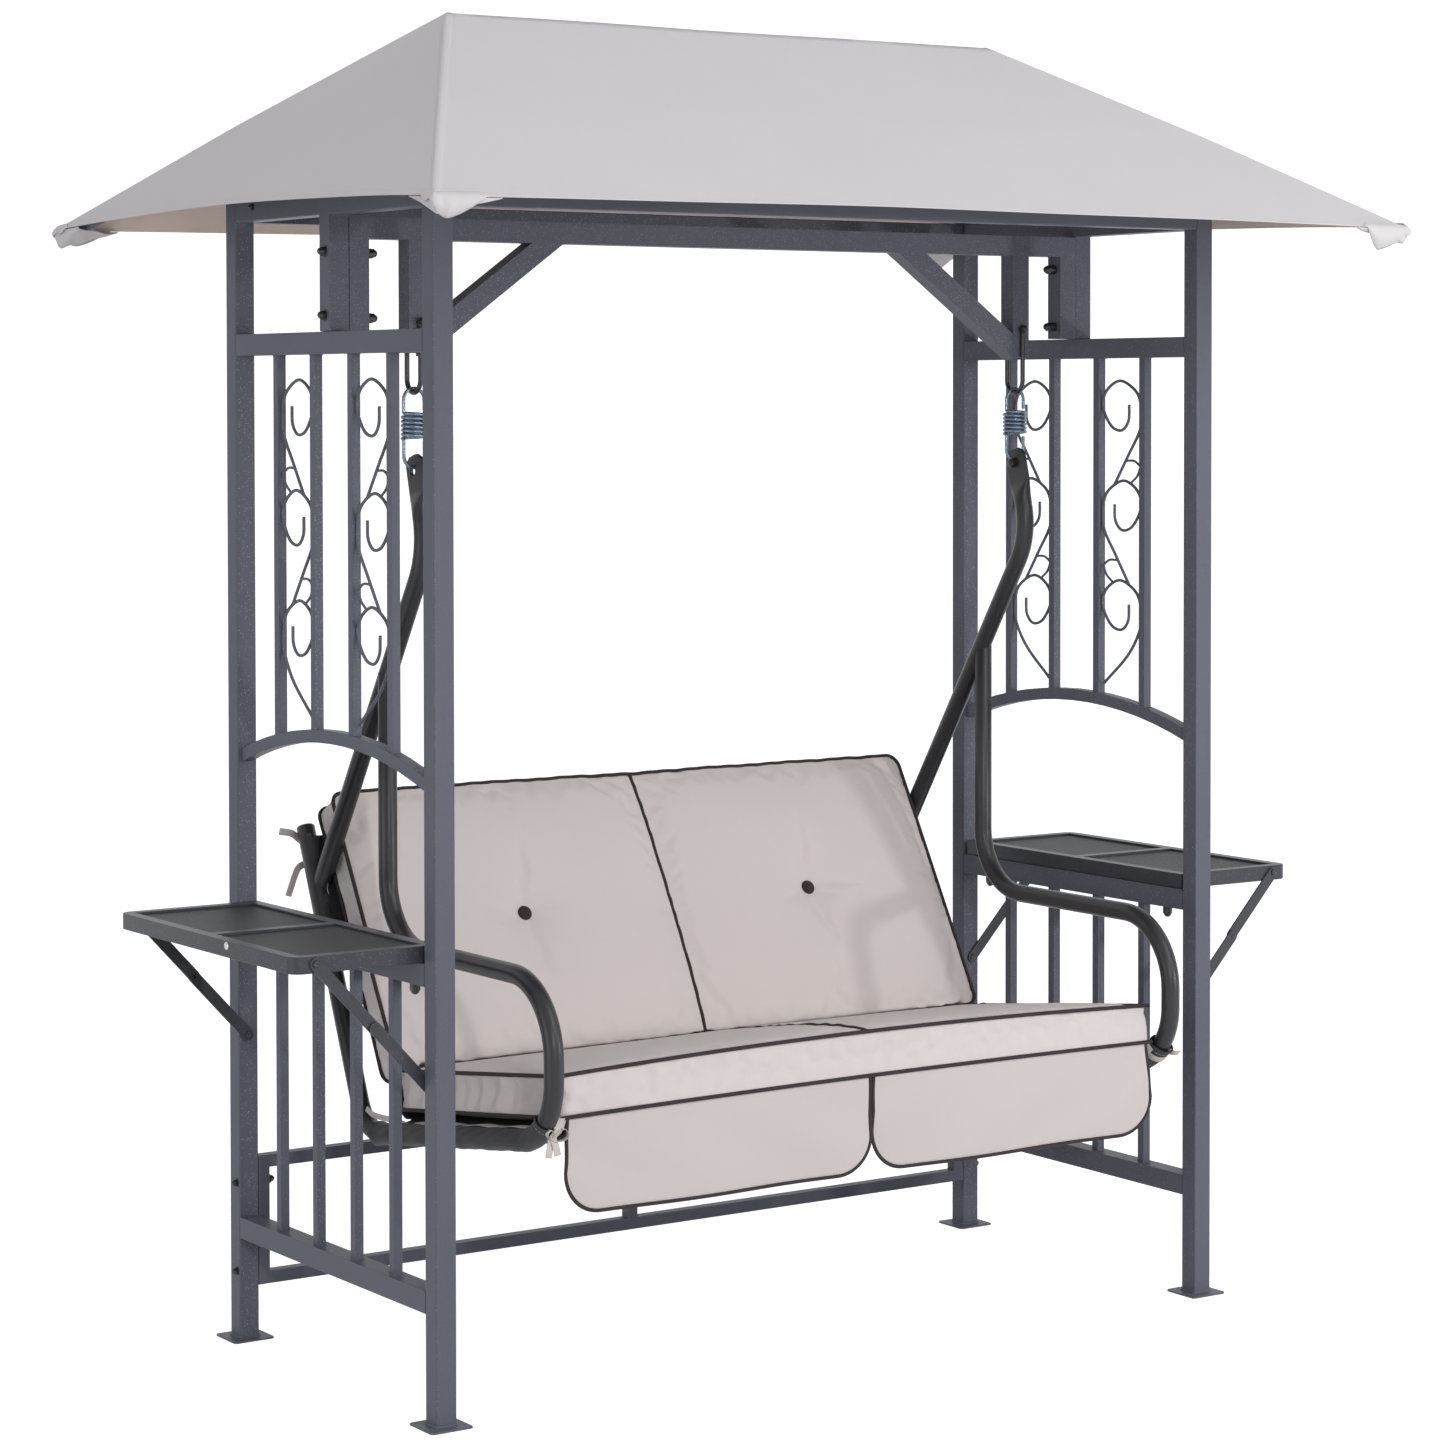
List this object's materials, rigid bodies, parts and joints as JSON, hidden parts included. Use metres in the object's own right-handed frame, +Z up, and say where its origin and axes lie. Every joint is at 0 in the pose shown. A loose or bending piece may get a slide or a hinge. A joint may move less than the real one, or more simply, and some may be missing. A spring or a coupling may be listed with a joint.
{
  "type": "canopy swing seat",
  "caption": "Garden swing seat with cushions, hung on coil springs from a square-post stand with a fabric hip canopy, scroll side panels and fold-down side trays.",
  "frame": {"origin": "on the ground at the middle of the four posts", "axes": "+Z up, +X toward the panel on the right of a viewer facing the front of the seat, the seat faces -Y"},
  "size_m": [1.916, 1.252, 2.105],
  "materials": {
    "frame_paint": "textured powder coat",
    "seat_paint": "satin powder coat",
    "canopy_cloth": "woven polyester",
    "cushion_cloth": "woven polyester with dark piping",
    "sling_cloth": "coated mesh fabric",
    "button_cloth": "covered button",
    "spring_zinc": "bright zinc",
    "tray_mesh": "painted steel mesh"
  },
  "bodies": {
    "stand": {"foot_plate_front_left": "frame_paint", "post_front_left": "frame_paint", "foot_plate_front_right": "frame_paint", "post_front_right": "frame_paint", "foot_plate_rear_left": "frame_paint", "post_rear_left": "frame_paint", "foot_plate_rear_right": "frame_paint", "post_rear_right": "frame_paint", "upper_grille_left": "frame_paint", "lower_grille_left": "frame_paint", "scroll_left_front": "frame_paint", "scroll_left_rear": "frame_paint", "top_rail_left": "frame_paint", "upper_grille_right": "frame_paint", "lower_grille_right": "frame_paint", "scroll_right_front": "frame_paint", "scroll_right_rear": "frame_paint", "top_rail_right": "frame_paint", "top_beam_front": "frame_paint", "top_beam_rear": "frame_paint", "swing_beam": "frame_paint", "hanger_bow_left": "frame_paint", "hanger_bow_right": "frame_paint", "ridge_bar": "frame_paint", "rafter_front_left": "frame_paint", "rafter_front_right": "frame_paint", "rafter_rear_left": "frame_paint", "rafter_rear_right": "frame_paint", "rear_ladder": "frame_paint", "canopy": "canopy_cloth"},
    "springs": {"spring_left": "spring_zinc", "spring_right": "spring_zinc"},
    "seat": {"hanger_arm_left": "seat_paint", "side_loop_left": "seat_paint", "hanger_arm_right": "seat_paint", "side_loop_right": "seat_paint", "cross_tube_front": "seat_paint", "cross_tube_rear": "seat_paint", "cross_tube_top": "seat_paint", "sling": "sling_cloth", "seat_cushion": "cushion_cloth", "back_cushion": "cushion_cloth", "tuft_button_left": "button_cloth", "skirt_left": "cushion_cloth", "tuft_button_right": "button_cloth", "skirt_right": "cushion_cloth"},
    "tray_left": {"tray_frame_left": "frame_paint", "tray_mesh_left_front": "tray_mesh", "tray_mesh_left_rear": "tray_mesh"},
    "stay_upper_left_front": {"stay_upper_left_front": "frame_paint"},
    "stay_lower_left_front": {"stay_lower_left_front": "frame_paint"},
    "stay_upper_left_rear": {"stay_upper_left_rear": "frame_paint"},
    "stay_lower_left_rear": {"stay_lower_left_rear": "frame_paint"},
    "tray_right": {"tray_frame_right": "frame_paint", "tray_mesh_right_front": "tray_mesh", "tray_mesh_right_rear": "tray_mesh"},
    "stay_upper_right_front": {"stay_upper_right_front": "frame_paint"},
    "stay_lower_right_front": {"stay_lower_right_front": "frame_paint"},
    "stay_upper_right_rear": {"stay_upper_right_rear": "frame_paint"},
    "stay_lower_right_rear": {"stay_lower_right_rear": "frame_paint"}
  },
  "joints": [
    {"name": "swing", "type": "hinge", "parent": "stand", "child": "springs", "pos_m": [0, 0, 1.5228], "axis": [1, 0, 0], "range_deg": [-20, 20]},
    {"name": "bounce", "type": "slide", "parent": "springs", "child": "seat", "axis": [0, 0, 1], "range_m": [-0.02, 0], "stiffness_N_per_m": 20000, "springref_m": 0.0075, "deforming": ["spring_left", "spring_right"]},
    {"name": "tray_left_fold", "type": "hinge", "parent": "stand", "child": "tray_left", "pos_m": [-0.748, 0, 0.68015], "axis": [0, -1, 0], "range_deg": [0, 90]},
    {"name": "stay_upper_left_front_turn", "type": "hinge", "parent": "tray_left", "child": "stay_upper_left_front", "pos_m": [-0.922, -0.295, 0.694], "axis": [0, -1, 0], "range_deg": [0, 13.5]},
    {"name": "stay_lower_left_front_turn", "type": "hinge", "parent": "stand", "child": "stay_lower_left_front", "pos_m": [-0.732, -0.2982, 0.491], "axis": [0, 1, 0], "range_deg": [0, 63.5]},
    {"name": "stay_upper_left_rear_turn", "type": "hinge", "parent": "tray_left", "child": "stay_upper_left_rear", "pos_m": [-0.922, 0.295, 0.694], "axis": [0, -1, 0], "range_deg": [0, 13.5]},
    {"name": "stay_lower_left_rear_turn", "type": "hinge", "parent": "stand", "child": "stay_lower_left_rear", "pos_m": [-0.732, 0.2982, 0.491], "axis": [0, 1, 0], "range_deg": [0, 63.5]},
    {"name": "tray_right_fold", "type": "hinge", "parent": "stand", "child": "tray_right", "pos_m": [0.748, 0, 0.68015], "axis": [0, 1, 0], "range_deg": [0, 90]},
    {"name": "stay_upper_right_front_turn", "type": "hinge", "parent": "tray_right", "child": "stay_upper_right_front", "pos_m": [0.922, -0.295, 0.694], "axis": [0, 1, 0], "range_deg": [0, 13.5]},
    {"name": "stay_lower_right_front_turn", "type": "hinge", "parent": "stand", "child": "stay_lower_right_front", "pos_m": [0.732, -0.2982, 0.491], "axis": [0, -1, 0], "range_deg": [0, 63.5]},
    {"name": "stay_upper_right_rear_turn", "type": "hinge", "parent": "tray_right", "child": "stay_upper_right_rear", "pos_m": [0.922, 0.295, 0.694], "axis": [0, 1, 0], "range_deg": [0, 13.5]},
    {"name": "stay_lower_right_rear_turn", "type": "hinge", "parent": "stand", "child": "stay_lower_right_rear", "pos_m": [0.732, 0.2982, 0.491], "axis": [0, -1, 0], "range_deg": [0, 63.5]}
  ],
  "couplings": [
    {"joint": "stay_upper_left_front_turn", "follows": "tray_left_fold", "ratio": 0.144},
    {"joint": "stay_lower_left_front_turn", "follows": "tray_left_fold", "ratio": 0.7},
    {"joint": "stay_upper_left_rear_turn", "follows": "tray_left_fold", "ratio": 0.144},
    {"joint": "stay_lower_left_rear_turn", "follows": "tray_left_fold", "ratio": 0.7},
    {"joint": "stay_upper_right_front_turn", "follows": "tray_right_fold", "ratio": 0.144},
    {"joint": "stay_lower_right_front_turn", "follows": "tray_right_fold", "ratio": 0.7},
    {"joint": "stay_upper_right_rear_turn", "follows": "tray_right_fold", "ratio": 0.144},
    {"joint": "stay_lower_right_rear_turn", "follows": "tray_right_fold", "ratio": 0.7}
  ]
}
